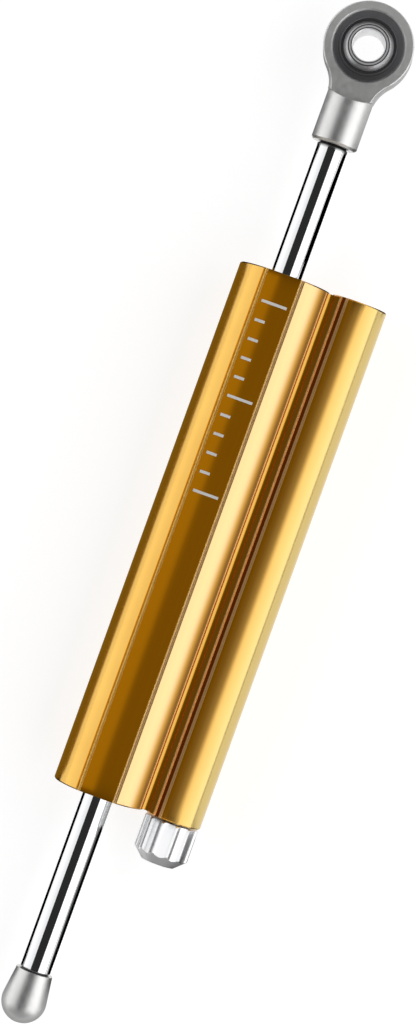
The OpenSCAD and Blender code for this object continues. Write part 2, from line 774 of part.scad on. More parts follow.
module bearing_race() {
    color(dark_steel) translate([eye_x, 0, 0]) difference() {
        cylinder(r = seat_r - fit_gap, h = race_w, center = true);
        sphere(r = race_bore_r);
    }
}

module bearing_liner() {
    color(polymer) translate([eye_x, 0, 0]) intersection() {
        cylinder(r = seat_r, h = race_w, center = true);
        difference() {
            sphere(r = liner_r + liner_t);
            sphere(r = liner_r);
        }
    }
}

module bearing_ball() {
    color(chrome) translate([eye_x, 0, 0]) difference() {
        intersection() {
            sphere(r = ball_r);
            cylinder(r = ball_r + cut, h = ball_w, center = true);
        }
        cylinder(d = bolt_d, h = 2 * ball_w, center = true);
        for (side = [0, 180])
            rotate([side, 0, 0]) translate([0, 0, ball_w / 2 - bolt_bevel])
                cylinder(d1 = bolt_d, d2 = bolt_d + 2 * bolt_bevel, h = bolt_bevel + skim);
    }
}

module end_cap() {
    color(silver) difference() {
        union() {
            cone(tangent_r, cap_mouth_r, tangent_x, rod_x0);
            translate([dome_x, 0, 0]) sphere(r = dome_r);
        }
        bar(stud_r + fit_gap, rod_x0 - lower_stud_len - end_gap, rod_x0 + cut);
        bar(dome_r + cut, rod_x0, rod_x0 + cap_len);
    }
}

module adjuster_knob() {
    color(silver) on_small_lobe() difference() {
        turned([
            [0, knob_x0], [knob_r - knob_bevel_h, knob_x0], [knob_r, knob_x0 + knob_bevel_len],
            [knob_r, knob_x1 - knob_back_bevel], [knob_r - knob_back_bevel, knob_x1], [0, knob_x1]
        ]);
        for (i = [1 : flutes])
            rotate([360 * i / flutes, 0, 0]) translate([0, 0, flute_axis_r])
                bar(flute_r, knob_x0 - cut, knob_x1 + cut);
        bar(spindle_r + fit_gap, knob_x1 - knob_bore_depth, knob_x1 + cut);
        translate([0, 0, detent_r]) bar(detent_pocket_r, spring_x0 - end_gap, knob_x1 + cut);
        translate([grub_x, 0, -knob_r - cut]) cylinder(r = grub_r + fit_gap, h = knob_r + cut);
    }
}

// Grub screw in the flute that faces down, set against the spindle
module knob_grub_screw() {
    depth = flute_floor_r - grub_sink - spindle_r - fit_gap;
    color(dark_steel) on_small_lobe() translate([grub_x, 0, -flute_floor_r + grub_sink]) difference() {
        cylinder(r = grub_r, h = depth);
        translate([0, 0, -cut])
            cylinder(d = grub_socket / cos(30), h = cut + depth / 2, $fn = 6);
    }
}

// Spindle with a flange at its inner end and a threaded socket for the needle
module adjuster_spindle() {
    color(steel) on_small_lobe() difference() {
        union() {
            bar(spindle_r, spindle_x0, flange_x1);
            bar(cavity_r - run_gap, flange_x0, flange_x1);
        }
        bar(socket_r, socket_x0, flange_x1 + cut);
        ring_groove(spindle_r, spindle_groove_r, spindle_ring_t, spindle_ring_x);
    }
}

module spindle_o_ring() {
    color(rubber) on_small_lobe()
        o_ring(spindle_groove_r + fit_gap, spindle_ring_t - fit_gap, spindle_ring_x);
}

module detent_ball() {
    color(chrome) on_small_lobe() translate([detent_ball_x, 0, detent_r]) sphere(r = detent_ball_r);
}

module detent_spring() {
    color(steel) on_small_lobe() translate([0, 0, detent_r])
        polyhedron(points = spring_points, faces = concat(spring_walls, spring_first_end, spring_last_end));
}

// Needle with a threaded tail, a hexagon that stops it turning, and a cone at the seat
module needle() {
    color(steel) on_small_lobe() {
        bar(tail_r, tail_x0, hex_x0 + cut);
        hex_bar(needle_hex, hex_x0, hex_x1);
        bar(stem_r, hex_x1 - cut, cone_x0);
        cone(stem_r, tip_r, cone_x0, cone_x0 + cone_len);
    }
}

damper_body();
gland();  // upper_gland
lower() gland();  // lower_gland
bush();  // upper_bush
lower() bush();  // lower_bush
oil_seal();  // upper_oil_seal
lower() oil_seal();  // lower_oil_seal
wiper();  // upper_wiper
lower() wiper();  // lower_wiper
gland_o_ring();  // upper_gland_o_ring
lower() gland_o_ring();  // lower_gland_o_ring
circlip();  // upper_circlip
lower() circlip();  // lower_circlip
gallery_plug();
gallery_plug_o_ring();
adjuster_housing();
adjuster_housing_o_ring();
needle_guide();
piston();
piston_ring();
piston_washers();
piston_rod();
piston_circlips();
rod_end();
bearing_race();
bearing_liner();
bearing_ball();
end_cap();
adjuster_knob();
knob_grub_screw();
adjuster_spindle();
spindle_o_ring();
detent_ball();
detent_spring();
needle();
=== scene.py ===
"""Looks of a motorcycle steering damper: finishes, printed stroke marks, studio and camera."""

import bmesh
import bpy
import json
import math
from mathutils import Matrix, Vector


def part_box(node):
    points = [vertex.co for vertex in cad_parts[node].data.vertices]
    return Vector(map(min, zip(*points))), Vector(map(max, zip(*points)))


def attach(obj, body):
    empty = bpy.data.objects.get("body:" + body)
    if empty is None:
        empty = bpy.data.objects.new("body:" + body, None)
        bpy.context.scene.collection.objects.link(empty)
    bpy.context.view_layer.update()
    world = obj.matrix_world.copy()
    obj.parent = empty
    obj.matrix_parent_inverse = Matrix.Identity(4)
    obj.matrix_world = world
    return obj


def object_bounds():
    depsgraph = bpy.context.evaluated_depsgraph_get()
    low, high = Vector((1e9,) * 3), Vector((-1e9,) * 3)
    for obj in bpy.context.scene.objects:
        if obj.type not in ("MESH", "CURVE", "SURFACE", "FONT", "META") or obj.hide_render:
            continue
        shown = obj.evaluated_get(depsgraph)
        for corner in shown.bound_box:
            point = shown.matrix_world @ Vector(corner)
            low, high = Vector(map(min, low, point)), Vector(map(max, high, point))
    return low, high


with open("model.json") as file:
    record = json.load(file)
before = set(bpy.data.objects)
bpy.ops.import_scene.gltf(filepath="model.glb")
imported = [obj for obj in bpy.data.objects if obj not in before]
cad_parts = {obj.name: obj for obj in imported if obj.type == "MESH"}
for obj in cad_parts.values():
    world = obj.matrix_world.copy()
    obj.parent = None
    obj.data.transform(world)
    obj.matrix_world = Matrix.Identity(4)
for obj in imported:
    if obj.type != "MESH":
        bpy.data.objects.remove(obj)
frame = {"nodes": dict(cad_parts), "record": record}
cad_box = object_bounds()
nodes = frame["nodes"]

MM = 0.001

# Camera: the barrel leans to the right, and its eye points up the picture
LEAN = math.radians(19.9)
AIM = Vector((6.94, -1.73, 0.0)) * MM
CAMERA_OFFSET = Vector((8.2, -25.0, 771.1)) * MM
PICTURE_HEIGHT = 257.7 * MM
SENSOR = 36.0
CLIP_START = 0.01

# Studio: two long boxes beside the barrel, each with its angle from straight up, half its spread
# in degrees and its brightness, and a dark gap between them
BOX_LENGTH = 1.6
BOX_DISTANCE = 0.7
LEFT_BOX = (-61.0, 30.0, 0.86)
RIGHT_BOX = (56.0, 29.0, 1.31)
FLOOR_SIZE = 4.0
FLOOR_GLOW = 0.8
FLOOR_COLOUR = (0.4, 0.4, 0.4)

# Room: its brightness at the horizon and overhead, and the sine of the elevation from which it is
# as dark as overhead
HORIZON_LEVEL = 0.4
OVERHEAD_LEVEL = 0.025
OVERHEAD_SINE = 0.87

# Sockets of the colour mix node, whose names repeat
MIX_A = 6
MIX_B = 7
MIX_RESULT = 2

# Noise: the detail of the grain and of the blotches, and the part of its range that is used
GRAIN_DETAIL = 4.0
BLOTCH_DETAIL = 3.0
NOISE_ROUGHNESS = 0.6
NOISE_LOW = 0.3
NOISE_HIGH = 0.7

# Worn edges: their radius, and the cosines of the bend where the rubbing starts and is complete
EDGE_RADIUS = 0.25 * MM
EDGE_START = 0.995
EDGE_FULL = 0.88


# Node helpers
def new_material(name):
    """A new material: itself, its links, its shader, and a function that adds a node with set inputs."""
    material = bpy.data.materials.new(name)
    material.use_nodes = True
    tree = material.node_tree
    return material, tree.links, tree.nodes["Principled BSDF"], adder(tree)


def adder(tree):
    """A function that adds a node to the tree and sets the inputs that it is given."""
    def add(kind, **inputs):
        node = tree.nodes.new(kind)
        for key, value in inputs.items():
            node.inputs[key.replace("_", " ")].default_value = value
        return node

    return add


def noise(links, add, scale, detail):
    """Noise in the piece's own space; scale is in cycles per metre along X, Y and Z."""
    place = add("ShaderNodeTexCoord")
    stretch = add("ShaderNodeMapping", Scale=scale)
    pattern = add("ShaderNodeTexNoise", Scale=1.0, Detail=detail, Roughness=NOISE_ROUGHNESS)
    links.new(place.outputs["Object"], stretch.inputs["Vector"])
    links.new(stretch.outputs["Vector"], pattern.inputs["Vector"])
    return pattern.outputs["Fac"]


def radius_round(links, add, centre, across):
    """Distance in metres from an axis through the centre; across is 0 along that axis, 1 elsewhere."""
    place = add("ShaderNodeTexCoord")
    offset = add("ShaderNodeVectorMath")
    offset.operation = "SUBTRACT"
    offset.inputs[1].default_value = centre
    flatten = add("ShaderNodeVectorMath")
    flatten.operation = "MULTIPLY"
    flatten.inputs[1].default_value = across
    radius = add("ShaderNodeVectorMath")
    radius.operation = "LENGTH"
    links.new(place.outputs["Object"], offset.inputs[0])
    links.new(offset.outputs["Vector"], flatten.inputs[0])
    links.new(flatten.outputs["Vector"], radius.inputs[0])
    return radius.outputs["Value"]


def ring_noise(links, add, scale, detail):
    """Noise in rings round the bolt's axis; scale is in cycles per metre."""
    pattern = add("ShaderNodeTexNoise", Scale=scale, Detail=detail, Roughness=NOISE_ROUGHNESS)
    pattern.noise_dimensions = "1D"
    links.new(radius_round(links, add, EYE, ACROSS_BOLT), pattern.inputs["W"])
    return pattern.outputs["Fac"]


def spread(links, add, value, low, high):
    """The middle of a noise's range, spread from low to high."""
    ramp = add("ShaderNodeMapRange", From_Min=NOISE_LOW, From_Max=NOISE_HIGH, To_Min=low, To_Max=high)
    links.new(value, ramp.inputs["Value"])
    return ramp.outputs["Result"]


def blend_colours(links, add, factor, first, second):
    """The first colour, set or linked, turning to the second by the factor."""
    mix = add("ShaderNodeMix")
    mix.data_type = "RGBA"
    links.new(factor, mix.inputs["Factor"])
    if isinstance(first, tuple):
        mix.inputs[MIX_A].default_value = (*first, 1.0)
    else:
        links.new(first, mix.inputs[MIX_A])
    mix.inputs[MIX_B].default_value = (*second, 1.0)
    return mix.outputs[MIX_RESULT]


def blend_values(links, add, factor, first, second):
    """The first value turning to the second by the factor, all linked."""
    mix = add("ShaderNodeMapRange")
    links.new(factor, mix.inputs["Value"])
    links.new(first, mix.inputs["To Min"])
    links.new(second, mix.inputs["To Max"])
    return mix.outputs["Result"]


def level_ramp(add, levels):
    """A ramp through (place, level) pairs, lowest place first; a level is a number or a colour."""
    low, high = levels[0][0], levels[-1][0]
    ramp = add("ShaderNodeValToRGB")
    stops = ramp.color_ramp.elements
    while len(stops) < len(levels):
        stops.new(1.0)
    for stop, (place, level) in zip(stops, levels):
        stop.position = (place - low) / (high - low)
        colour = level if isinstance(level, tuple) else (level, level, level)
        stop.color = (*colour, 1.0)
    return ramp


def in_metres(levels):
    """The levels, with their places turned from millimetres into metres."""
    return [(place * MM, level) for place, level in levels]


def part_along(links, add, axis, output="Object"):
    """The part along one axis of a texture coordinate, such as the place on the piece or its normal."""
    place = add("ShaderNodeTexCoord")
    split = add("ShaderNodeSeparateXYZ")
    links.new(place.outputs[output], split.inputs["Vector"])
    return split.outputs[axis]


def ramp_along(links, add, place, levels):
    """The level at a place, through (place, level) pairs, lowest place first."""
    scaled = add("ShaderNodeMapRange", From_Min=levels[0][0], From_Max=levels[-1][0])
    ramp = level_ramp(add, levels)
    links.new(place, scaled.inputs["Value"])
    links.new(scaled.outputs["Result"], ramp.inputs["Fac"])
    return ramp.outputs["Color"]


def rounded_edges(links, add, radius):
    """The normal with edges rounded off by this radius, and a mask that is 1 along those edges."""
    rounded = add("ShaderNodeBevel", Radius=radius)
    surface = add("ShaderNodeNewGeometry")
    dot = add("ShaderNodeVectorMath")
    dot.operation = "DOT_PRODUCT"
    links.new(rounded.outputs["Normal"], dot.inputs[0])
    links.new(surface.outputs["Normal"], dot.inputs[1])
    ramp = add("ShaderNodeMapRange", From_Min=EDGE_START, From_Max=EDGE_FULL)
    links.new(dot.outputs["Value"], ramp.inputs["Value"])
    return rounded.outputs["Normal"], ramp.outputs["Result"]


# Centres of the rod end's eye and of the small lobe
eye_low, eye_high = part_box("bearing_race")
EYE = (eye_low + eye_high) / 2
ACROSS_BOLT = (1.0, 1.0, 0.0)
knob_low, knob_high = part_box("adjuster_knob")
LOBE = (knob_low + knob_high) / 2
ACROSS_ROD = (0.0, 1.0, 1.0)

# Grains in cycles per metre along X, Y and Z, the rings round the bolt, and the blotches
ALONG = (14.0, 3200.0, 3200.0)
TURNED = (2600.0, 40.0, 40.0)
RINGS = 2200.0
FORGED = (700.0, 700.0, 700.0)
BLOTCH = (55.0, 55.0, 55.0)
WORN_ROUGH = (0.2, 0.3)


def along(axis, levels):
    """A zone whose share runs through (millimetres along the axis, share) pairs, lowest first."""
    def share(links, add):
        return ramp_along(links, add, part_along(links, add, axis), in_metres(levels))

    return share


def facing(axis, levels):
    """A zone whose share runs through (the normal's part along the axis, share) pairs, lowest first."""
    def share(links, add):
        return ramp_along(links, add, part_along(links, add, axis, "Normal"), levels)

    return share


def round_axis(centre, across, levels):
    """A zone whose share runs through (millimetres from an axis, share) pairs, lowest first."""
    def share(links, add):
        return ramp_along(links, add, radius_round(links, add, centre, across), in_metres(levels))

    return share


def finish(name, dark, pale, rough, grain, height, metallic=1.0, worn=None, edge=EDGE_RADIUS, zones=()):
    """A finish with a fine grain that varies its roughness within a range and raises a relief of this
    height, soft blotches from dark to pale, zones with a colour and a range of roughness of their own,
    and, where worn is a colour, rounded edges rubbed to it."""
    material, links, shader, add = new_material(name)
    shader.inputs["Metallic"].default_value = metallic
    grain_noise = ring_noise if grain == RINGS else noise
    fine = grain_noise(links, add, grain, GRAIN_DETAIL)
    blotch = noise(links, add, BLOTCH, BLOTCH_DETAIL)
    colour = blend_colours(links, add, spread(links, add, blotch, 0.0, 1.0), dark, pale)
    roughness = spread(links, add, fine, *rough)
    for zone, zone_colour, zone_rough in zones:
        share = zone(links, add)
        colour = blend_colours(links, add, share, colour, zone_colour)
        roughness = blend_values(links, add, share, roughness, spread(links, add, fine, *zone_rough))
    relief = add("ShaderNodeBump", Strength=1.0, Distance=height)
    if worn:
        rounded, rubbed = rounded_edges(links, add, edge)
        colour = blend_colours(links, add, rubbed, colour, worn)
        roughness = blend_values(links, add, rubbed, roughness, spread(links, add, fine, *WORN_ROUGH))
        links.new(rounded, relief.inputs["Normal"])
    links.new(colour, shader.inputs["Base Color"])
    links.new(roughness, shader.inputs["Roughness"])
    links.new(fine, relief.inputs["Height"])
    links.new(relief.outputs["Normal"], shader.inputs["Normal"])
    return material


# The gold carries painted light: painted shade, a deeper and darker gold, on the label flat, in the
# valley and on the small lobe's left half, darkest in the flank groove; painted highlights, paler on the
# main lobe's right flank and bright on the groove's lips; a painted lemon reflection at the right edge;
# plain gold below
GOLD_ROUGH = (0.14, 0.22)
LIP_ROUGH = (0.55, 0.65)
GOLD_EDGE = 0.2 * MM
PLAIN_GOLD = (0.84, 0.50, 0.12)
PAINTED_SHADE_GOLD = (0.80, 0.30, 0.004)
BAND_HIGHLIGHT_GOLD = (0.82, 0.54, 0.25)
RIM_REFLECTION_GOLD = (0.68, 0.51, 0.19)
WORN_GOLD = (0.87, 0.57, 0.17)
LIP_HIGHLIGHT_GOLD = (0.98, 0.60, 0.27)
GROOVE_SHADE_GOLD = (0.44, 0.085, 0.001)
# Painted shade: the label flat is painted a deeper, darker gold
LABEL_SHADE_ZONE = along("Z", [(10.55, 0.0), (10.7, 1.0)])
# Painted shade: a deeper, darker gold in the valley, on the main lobe's flank beside it and on the small
# lobe's left half
VALLEY_SHADE_ZONE = along("Y", [
    (-21.0, 0.0), (-17.5, 1.0), (-12.4, 1.0), (-11.9, 0.0), (-11.25, 0.0), (-11.05, 0.75), (-10.5, 0.7),
    (-10.0, 0.5), (-9.2, 0.0)])
# Painted highlight: a paler gold on the main lobe's right flank and, fading, on the small lobe's right
# side
BAND_HIGHLIGHT_ZONE = along("Y", [
    (-24.0, 0.5), (-21.0, 0.1), (-20.0, 0.0), (-9.8, 0.0), (-8.8, 1.0), (-4.5, 1.0), (-4.3, 0.0)])
# Painted reflection: a pale lemon gold along the small lobe's right edge
RIM_REFLECTION_ZONE = along("Y", [(-24.3, 1.0), (-23.4, 0.0)])
# Painted shade: a dark brown gold in the flank groove
GROOVE_SHADE_ZONE = round_axis(LOBE, ACROSS_ROD, [(6.85, 1.0), (6.95, 0.0)])
# Painted highlight: bright, rough lines of gold on the groove's lips
LIP_HIGHLIGHT_ZONE = along("Y", [
    (-17.0, 0.0), (-16.8, 1.0), (-16.2, 1.0), (-16.1, 0.0), (-15.35, 0.0), (-15.25, 1.0),
    (-14.75, 1.0), (-14.55, 0.0)])
UNDER_ZONE = along("Z", [(0.3, 1.0), (1.3, 0.0)])
GOLD = finish(
    "gold_anodised", (0.82, 0.48, 0.11), (0.86, 0.52, 0.125), GOLD_ROUGH, ALONG, 0.0003 * MM,
    worn=WORN_GOLD, edge=GOLD_EDGE, zones=[
        (LABEL_SHADE_ZONE, PAINTED_SHADE_GOLD, GOLD_ROUGH), (BAND_HIGHLIGHT_ZONE, BAND_HIGHLIGHT_GOLD, GOLD_ROUGH),
        (RIM_REFLECTION_ZONE, RIM_REFLECTION_GOLD, GOLD_ROUGH), (VALLEY_SHADE_ZONE, PAINTED_SHADE_GOLD, GOLD_ROUGH),
        (GROOVE_SHADE_ZONE, GROOVE_SHADE_GOLD, GOLD_ROUGH), (LIP_HIGHLIGHT_ZONE, LIP_HIGHLIGHT_GOLD, LIP_ROUGH),
        (UNDER_ZONE, PLAIN_GOLD, GOLD_ROUGH)])

# Painted shade: the bevels on the rod's shoulders, at the cap's mouth and at the rod end, are painted
# near black and rough; lengths here are in millimetres
rod_end_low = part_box("rod_end")[0].x / MM
cap_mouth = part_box("end_cap")[1].x / MM
SHOULDER_BEVEL = 0.6
SHADE_FADE_END = 0.65
BEVEL_SHADE_ZONE = along("X", [
    (cap_mouth, 1.0), (cap_mouth + SHOULDER_BEVEL, 1.0), (cap_mouth + SHADE_FADE_END, 0.0),
    (rod_end_low - SHADE_FADE_END, 0.0), (rod_end_low - SHOULDER_BEVEL, 1.0)])
CHROME = finish(
    "hard_chrome", (0.88, 0.89, 0.90), (0.92, 0.92, 0.93), (0.03, 0.07), TURNED, 0.0001 * MM,
    zones=[(BEVEL_SHADE_ZONE, (0.06, 0.06, 0.06), (0.4, 0.5))])

# The round shank starts this far from the middle of the eye, in millimetres, and is smoother
SHANK_START = 14.4
SHANK_FADE = 0.2
shank_x = EYE.x / MM - SHANK_START
SHANK_ZONE = along("X", [(shank_x, 1.0), (shank_x + SHANK_FADE, 0.0)])
PLATED = finish(
    "plated_steel", (0.74, 0.74, 0.73), (0.80, 0.80, 0.79), (0.42, 0.54), FORGED, 0.002 * MM,
    worn=(0.86, 0.86, 0.85), zones=[(SHANK_ZONE, (0.78, 0.78, 0.77), (0.38, 0.46))])
CAP_STEEL = finish(
    "plated_cap", (0.74, 0.74, 0.73), (0.80, 0.80, 0.79), (0.38, 0.46), FORGED, 0.0006 * MM)

# The knob's bevel and its lower face are matt
KNOB_BEVEL_ZONE = facing("X", [(-1.0, 1.0), (-0.45, 1.0), (-0.3, 0.0), (1.0, 0.0)])
ALLOY = finish(
    "bright_alloy", (0.76, 0.77, 0.78), (0.82, 0.82, 0.83), (0.16, 0.26), TURNED, 0.0008 * MM,
    worn=(0.93, 0.93, 0.93), zones=[(KNOB_BEVEL_ZONE, (0.72, 0.72, 0.72), (0.45, 0.55))])

# The ball has a rough land round its bore painted bright, a painted highlight, with painted shade, a dark
# line, at each edge of it
LAND_HIGHLIGHT_ZONE = round_axis(EYE, ACROSS_BOLT, [(5.1, 1.0), (5.2, 0.0)])
EDGE_SHADE_ZONE = round_axis(EYE, ACROSS_BOLT, [
    (4.25, 0.0), (4.3, 1.0), (4.5, 1.0), (4.55, 0.0), (4.95, 0.0), (5.0, 1.0), (5.25, 1.0), (5.3, 0.0)])
BALL = finish(
    "ball_steel", (0.46, 0.46, 0.47), (0.54, 0.54, 0.55), (0.22, 0.34), RINGS, 0.0006 * MM, zones=[
        (LAND_HIGHLIGHT_ZONE, (0.86, 0.86, 0.87), (0.42, 0.54)), (EDGE_SHADE_ZONE, (0.10, 0.10, 0.10), (0.3, 0.4))])

# Other finishes
RACE = finish(
    "race_steel", (0.19, 0.19, 0.20), (0.29, 0.29, 0.30), (0.26, 0.46), RINGS, 0.002 * MM,
    worn=(0.5, 0.5, 0.51))
LINER = finish(
    "bearing_liner", (0.018, 0.018, 0.019), (0.035, 0.035, 0.036), (0.5, 0.65), FORGED, 0.002 * MM,
    metallic=0.0)
TURNED_ALLOY = finish(
    "turned_alloy", (0.70, 0.71, 0.72), (0.78, 0.78, 0.79), (0.22, 0.36), TURNED, 0.001 * MM)
TURNED_STEEL = finish(
    "turned_steel", (0.50, 0.50, 0.51), (0.58, 0.58, 0.59), (0.24, 0.38), TURNED, 0.001 * MM)
BLACK_STEEL = finish(
    "black_spring_steel", (0.025, 0.025, 0.028), (0.05, 0.05, 0.055), (0.35, 0.5), FORGED, 0.002 * MM,
    worn=(0.25, 0.25, 0.26))
BRONZE = finish(
    "bronze", (0.55, 0.33, 0.16), (0.64, 0.40, 0.20), (0.28, 0.42), TURNED, 0.001 * MM)
BRASS = finish(
    "brass", (0.72, 0.52, 0.20), (0.80, 0.60, 0.26), (0.22, 0.34), TURNED, 0.001 * MM)
RUBBER = finish(
    "rubber", (0.012, 0.012, 0.013), (0.025, 0.025, 0.026), (0.5, 0.68), FORGED, 0.006 * MM,
    metallic=0.0)
PRINT = finish(
    "white_print", (0.74, 0.74, 0.72), (0.82, 0.82, 0.80), (0.38, 0.52), FORGED, 0.001 * MM,
    metallic=0.0)

SLOT_FINISHES = {
    "gold_anodised": GOLD,
    "chrome": CHROME,
    "plated_steel": PLATED,
    "bright_alloy": ALLOY,
    "ball_steel": BALL,
    "race_steel": RACE,
    "liner": LINER,
    "turned_alloy": TURNED_ALLOY,
    "turned_steel": TURNED_STEEL,
    "black_spring_steel": BLACK_STEEL,
    "bronze": BRONZE,
    "brass": BRASS,
    "rubber": RUBBER,
}
OWN_FINISHES = {"end_cap": CAP_STEEL}

for subpart in frame["record"]["subparts"]:
    name = subpart["node"]
    slots = nodes[name].data.materials
    slots.clear()
    slots.append(OWN_FINISHES.get(name, SLOT_FINISHES[subpart["material_slot"]]))


# Printed stroke marks on the label flat: plain ticks, every fifth one long
MARK_COUNT = 11
MARK_STEP = 5.0 * MM
MARK_FIRST_X = 11.0 * MM
MARK_WIDTH = 0.7 * MM
MARK_SHORT = 2.6 * MM
MARK_LONG = 6.6 * MM
MARK_EVERY = 5
MARK_INK = 0.03 * MM
MARK_MARGIN = 0.7 * MM
LABEL_HALF_WIDTH = 4.0 * MM


def add_tick(mesh, x, y_low, y_high, z):
    """One printed bar across the label, as a thin closed block."""
    size = Matrix.Diagonal((MARK_WIDTH, y_high - y_low, MARK_INK, 1.0))
    place = Matrix.Translation((x, (y_low + y_high) / 2, z + MARK_INK / 2))
    bmesh.ops.create_cube(mesh, size=1.0, matrix=place @ size)


def stroke_marks():
    """The row of ticks, on the label flat of the body."""
    label_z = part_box("damper_body")[1].z
    y_high = LABEL_HALF_WIDTH - MARK_MARGIN
    mesh = bmesh.new()
    for index in range(MARK_COUNT):
        length = MARK_LONG if index % MARK_EVERY == 0 else MARK_SHORT
        x = MARK_FIRST_X + index * MARK_STEP
        add_tick(mesh, x, y_high - length, y_high, label_z)
    data = bpy.data.meshes.new("stroke_marks")
    mesh.to_mesh(data)
    mesh.free()
    data.materials.append(PRINT)
    piece = bpy.data.objects.new("stroke_marks", data)
    bpy.context.scene.collection.objects.link(piece)
    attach(piece, "body")


stroke_marks()


# Studio
def level_corners(x_low, x_high, y_low, y_high, z):
    """Corners of a level rectangle that faces up."""
    return [(x_low, y_low, z), (x_high, y_low, z), (x_high, y_high, z), (x_low, y_high, z)]


def stage_quad(name, corners):
    """A flat four-cornered piece of the stage."""
    data = bpy.data.meshes.new(name)
    data.from_pydata(corners, [], [(0, 1, 2, 3)])
    piece = bpy.data.objects.new(name, data)
    bpy.context.scene.collection.objects.link(piece)
    return piece


def floor_finish():
    """A pale floor that shows white to the camera and in the metal, and still takes the shadow."""
    material, links, shader, add = new_material("studio_floor")
    material.node_tree.nodes.remove(shader)
    output = material.node_tree.nodes["Material Output"]
    matt = add("ShaderNodeBsdfDiffuse", Color=(*FLOOR_COLOUR, 1.0))
    glow = add("ShaderNodeEmission")
    ray = add("ShaderNodeLightPath")
    total = add("ShaderNodeAddShader")
    seen = add("ShaderNodeMath")
    seen.operation = "MAXIMUM"
    seen_through = add("ShaderNodeMath")
    seen_through.operation = "MAXIMUM"
    strength = add("ShaderNodeMath")
    strength.operation = "MULTIPLY"
    strength.inputs[1].default_value = FLOOR_GLOW
    links.new(ray.outputs["Is Camera Ray"], seen.inputs[0])
    links.new(ray.outputs["Is Glossy Ray"], seen.inputs[1])
    links.new(seen.outputs["Value"], seen_through.inputs[0])
    links.new(ray.outputs["Is Transmission Ray"], seen_through.inputs[1])
    links.new(seen_through.outputs["Value"], strength.inputs[0])
    links.new(strength.outputs["Value"], glow.inputs["Strength"])
    links.new(matt.outputs["BSDF"], total.inputs[0])
    links.new(glow.outputs["Emission"], total.inputs[1])
    links.new(total.outputs["Shader"], output.inputs["Surface"])
    return material


def card_finish(name, axis, levels, one_sided):
    """A card whose brightness runs through the levels, each at its millimetres along the axis."""
    material, links, shader, add = new_material(name)
    material.node_tree.nodes.remove(shader)
    output = material.node_tree.nodes["Material Output"]
    glow = add("ShaderNodeEmission")
    brightness = ramp_along(links, add, part_along(links, add, axis), in_metres(levels))
    links.new(brightness, glow.inputs["Color"])
    if one_sided:
        surface = add("ShaderNodeNewGeometry")
        sides = add("ShaderNodeMixShader")
        links.new(surface.outputs["Backfacing"], sides.inputs["Fac"])
        links.new(glow.outputs["Emission"], sides.inputs[1])
        links.new(add("ShaderNodeBsdfTransparent").outputs["BSDF"], sides.inputs[2])
        links.new(sides.outputs["Shader"], output.inputs["Surface"])
    else:
        links.new(glow.outputs["Emission"], output.inputs["Surface"])
    return material


def reflected_card(name, corners, axis, levels, one_sided=False):
    """A card that only the metal sees, painting light and shade into its reflections; levels are
    (millimetres along the axis, brightness) pairs, lowest first, and a brightness is a number or a
    colour."""
    card = stage_quad(name, corners)
    card.data.materials.append(card_finish(name, axis, levels, one_sided))
    card.visible_camera = False
    card.visible_diffuse = False
    card.visible_shadow = False
    card.visible_transmission = False


def level_card(name, span, z, levels):
    """A level card along this span of the barrel, whose brightness varies across the barrel."""
    y_low = levels[0][0] * MM
    y_high = levels[-1][0] * MM
    reflected_card(name, level_corners(*span, y_low, y_high, z), "Y", levels)


def upright_card(name, span, y, levels, faces_left):
    """A card on edge along this span of the barrel, seen from one side; its brightness varies upwards."""
    x_low, x_high = span
    z_low = levels[0][0] * MM
    z_high = levels[-1][0] * MM
    corners = [(x_low, y, z_low), (x_low, y, z_high), (x_high, y, z_high), (x_high, y, z_low)]
    reflected_card(name, corners if faces_left else corners[::-1], "Z", levels, one_sided=True)


def cross_card(name, x, half_width, levels):
    """A card on edge across the barrel's line, whose brightness varies upwards."""
    z_low = levels[0][0] * MM
    z_high = levels[-1][0] * MM
    low_edge = [(x, -half_width, z_low), (x, half_width, z_low)]
    high_edge = [(x, half_width, z_high), (x, -half_width, z_high)]
    reflected_card(name, low_edge + high_edge, "Z", levels)


def reach(low, high, overrun):
    """The span from low to high, longer by the overrun at each end."""
    return (low - overrun[0], high + overrun[1])


body_low, body_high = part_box("damper_body")
cap_low, cap_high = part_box("end_cap")
floor_z = cad_box[0][2]

# Above the body, a dim card, and a lower one over half of the label flat, a painted reflection that makes
# that half lighter
TOP_CARD_Z = 50.0 * MM
TOP_CARD_OVERRUN = (4.3 * MM, 2.7 * MM)
TOP_CARD = [
    (-46, 1.3), (-38, 1.15), (-29.5, 0.62), (-23, 0.34), (-16.5, 0.32), (-10, 0.26), (-3.4, 0.21),
    (2, 0.205), (8, 0.14), (50, 0.1)]
LABEL_CARD_Z = 20.0 * MM
LABEL_CARD = [(1.1, 0.22), (1.9, 0.42), (8.0, 0.42)]
level_card("top_card", reach(body_low.x, body_high.x, TOP_CARD_OVERRUN), TOP_CARD_Z, TOP_CARD)
level_card("label_card", (body_low.x, body_high.x), LABEL_CARD_Z, LABEL_CARD)

# Above the far side of the eye, a dim card
EYE_CARD_Z = 50.0 * MM
EYE_CARD_SPAN = (EYE.x + 5.0 * MM, EYE.x + 65.0 * MM)
EYE_CARD = [(-45.0, 0.27), (45.0, 0.27)]
level_card("eye_card", EYE_CARD_SPAN, EYE_CARD_Z, EYE_CARD)

